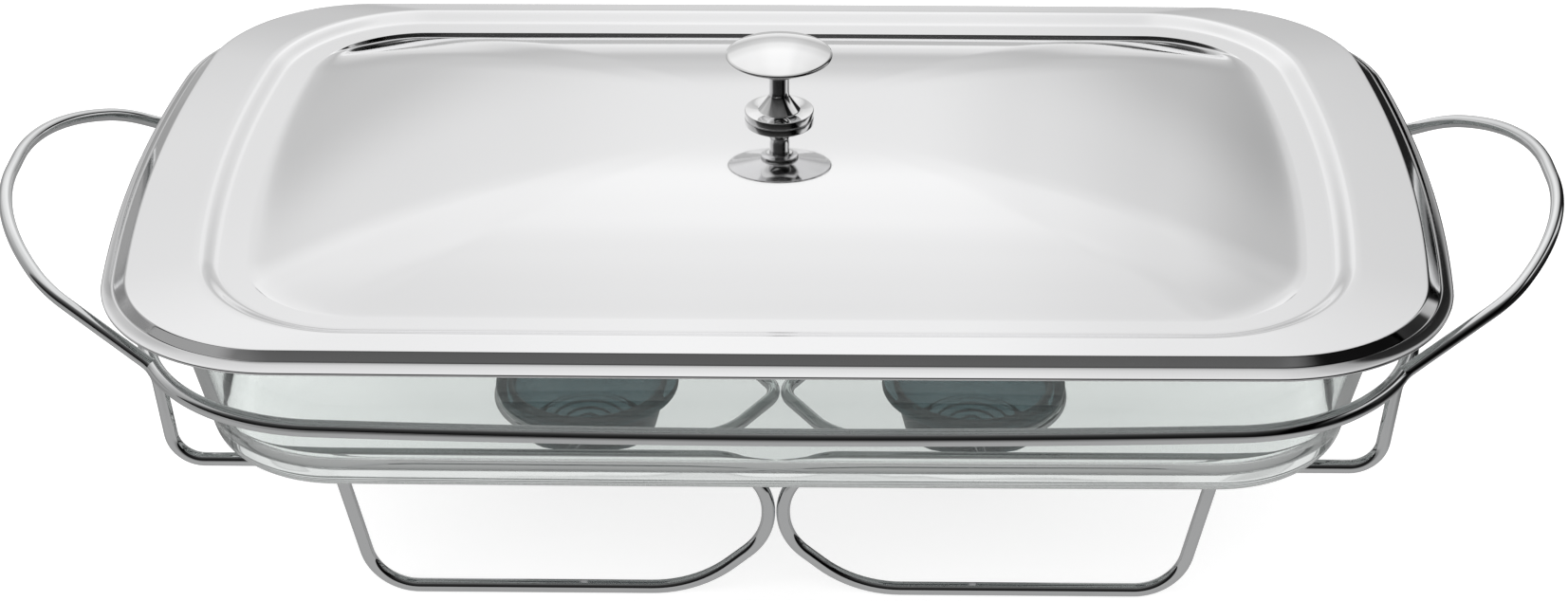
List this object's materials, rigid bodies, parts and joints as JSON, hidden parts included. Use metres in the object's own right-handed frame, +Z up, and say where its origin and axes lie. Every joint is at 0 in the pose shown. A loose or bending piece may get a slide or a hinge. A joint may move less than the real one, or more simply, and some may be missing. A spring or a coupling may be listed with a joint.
{
  "type": "chafing dish",
  "caption": "Oblong glass serving dish with a lift-off domed steel lid and knob, carried in a wire stand with loop handles and hanging glass candle cups.",
  "frame": {"origin": "on the table, under the middle of the dish", "axes": "+X to the right along the long side and through the handles, +Y to the rear, +Z up"},
  "size_m": [0.4652, 0.2352, 0.1447],
  "materials": {
    "stand_wire": "bright plated wire",
    "lid_steel": "polished sheet",
    "knob_metal": "polished turning",
    "dish_glass": "clear, smooth",
    "cup_glass": "clear, pressed",
    "gasket_rubber": "soft, pale",
    "fastener_steel": "bright"
  },
  "bodies": {
    "stand": {"ring_rail": "stand_wire", "handle_right": "stand_wire", "handle_left": "stand_wire", "candle_loop_right": "stand_wire", "candle_loop_left": "stand_wire", "base_wire_front_right": "stand_wire", "base_wire_front_left": "stand_wire", "base_wire_rear_right": "stand_wire", "base_wire_rear_left": "stand_wire", "loop_tie_front_right": "stand_wire", "loop_tie_front_left": "stand_wire", "loop_tie_rear_right": "stand_wire", "loop_tie_rear_left": "stand_wire"},
    "dish": {"glass_dish": "dish_glass"},
    "lid": {"lid_shell": "lid_steel", "knob_cap": "knob_metal", "knob_stem": "knob_metal", "knob_gasket": "gasket_rubber", "knob_washer": "fastener_steel", "knob_screw": "fastener_steel"},
    "cup_right": {"candle_cup_right": "cup_glass"},
    "cup_left": {"candle_cup_left": "cup_glass"}
  },
  "joints": [
    {"name": "dish_lift", "type": "slide", "parent": "stand", "child": "dish", "axis": [0, 0, 1], "range_m": [0, 0.1]},
    {"name": "lid_lift", "type": "slide", "parent": "dish", "child": "lid", "axis": [0, 0, 1], "range_m": [0, 0.12]},
    {"name": "cup_lift_right", "type": "slide", "parent": "stand", "child": "cup_right", "axis": [0, 0, 1], "range_m": [0, 0.018]},
    {"name": "cup_lift_left", "type": "slide", "parent": "stand", "child": "cup_left", "axis": [0, 0, 1], "range_m": [0, 0.018]}
  ]
}
